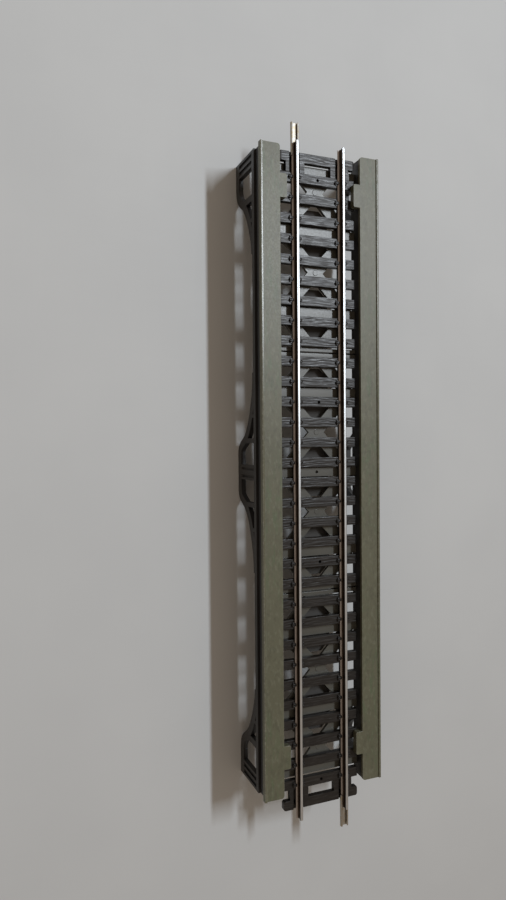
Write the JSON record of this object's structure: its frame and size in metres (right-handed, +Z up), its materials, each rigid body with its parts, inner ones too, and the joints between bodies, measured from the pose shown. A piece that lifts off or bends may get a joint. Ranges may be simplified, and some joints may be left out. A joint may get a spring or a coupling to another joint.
{
  "type": "model railway track section on a deck bridge",
  "caption": "Straight two-rail model track panel with sleepers and rail joiners, lying in the trough of an arched deck truss bridge with walkways.",
  "frame": {"origin": "middle of the track's length, on the surface that the feet stand on", "axes": "+Y along the rails towards the end whose joiner is on the left rail, +X across to the right, +Z up"},
  "size_m": [0.0446, 0.2418, 0.023],
  "materials": {
    "deck_plastic": "moulded grey-green plastic, satin, lightly textured",
    "truss_plastic": "moulded dark grey plastic, satin",
    "sleeper_plastic": "moulded charcoal plastic with wood grain",
    "rail_metal": "drawn nickel silver, bright on the running surface, dull on the web",
    "joiner_metal": "folded nickel-plated sheet"
  },
  "bodies": {
    "bridge": {"walkway_left": "deck_plastic", "walkway_right": "deck_plastic", "girder_inner_web_left": "truss_plastic", "girder_flange_left": "truss_plastic", "girder_outer_web_left": "truss_plastic", "girder_inner_web_right": "truss_plastic", "girder_flange_right": "truss_plastic", "girder_outer_web_right": "truss_plastic", "side_truss_left": "truss_plastic", "side_truss_right": "truss_plastic", "end_beam_far": "deck_plastic", "end_beam_near": "deck_plastic", "twin_beam_far": "deck_plastic", "twin_beam_near": "deck_plastic", "cross_beam_1": "deck_plastic", "cross_beam_2": "deck_plastic", "cross_beam_3": "deck_plastic", "cross_beam_4": "deck_plastic", "cross_beam_5": "deck_plastic", "cross_beam_6": "deck_plastic", "cross_beam_7": "deck_plastic", "end_brace_far": "deck_plastic", "end_brace_near": "deck_plastic", "lateral_brace_far_1": "deck_plastic", "lateral_brace_far_3": "deck_plastic", "lateral_brace_near_1": "deck_plastic", "lateral_brace_near_3": "deck_plastic", "brace_fork_far_outer": "deck_plastic", "brace_fork_far_inner": "deck_plastic", "brace_fork_near_outer": "deck_plastic", "brace_fork_near_inner": "deck_plastic", "gusset_plate_1": "truss_plastic", "gusset_plate_2": "truss_plastic", "gusset_plate_3": "truss_plastic", "gusset_plate_4": "truss_plastic", "gusset_plate_5": "truss_plastic", "gusset_plate_6": "truss_plastic", "gusset_plate_7": "truss_plastic"},
    "track": {"rail_left": "rail_metal", "rail_right": "rail_metal", "sleeper_moulding": "sleeper_plastic"},
    "joiner_far": {"rail_joiner_far": "joiner_metal"},
    "joiner_near": {"rail_joiner_near": "joiner_metal"}
  },
  "joints": [
    {"name": "track_slide", "type": "slide", "parent": "bridge", "child": "track", "axis": [0, 1, 0], "range_m": [-0.0034, 0.0102]},
    {"name": "joiner_far_slide", "type": "slide", "parent": "track", "child": "joiner_far", "axis": [0, 1, 0], "range_m": [-0.003, 0.003]},
    {"name": "joiner_near_slide", "type": "slide", "parent": "track", "child": "joiner_near", "axis": [0, -1, 0], "range_m": [-0.003, 0.003]}
  ]
}
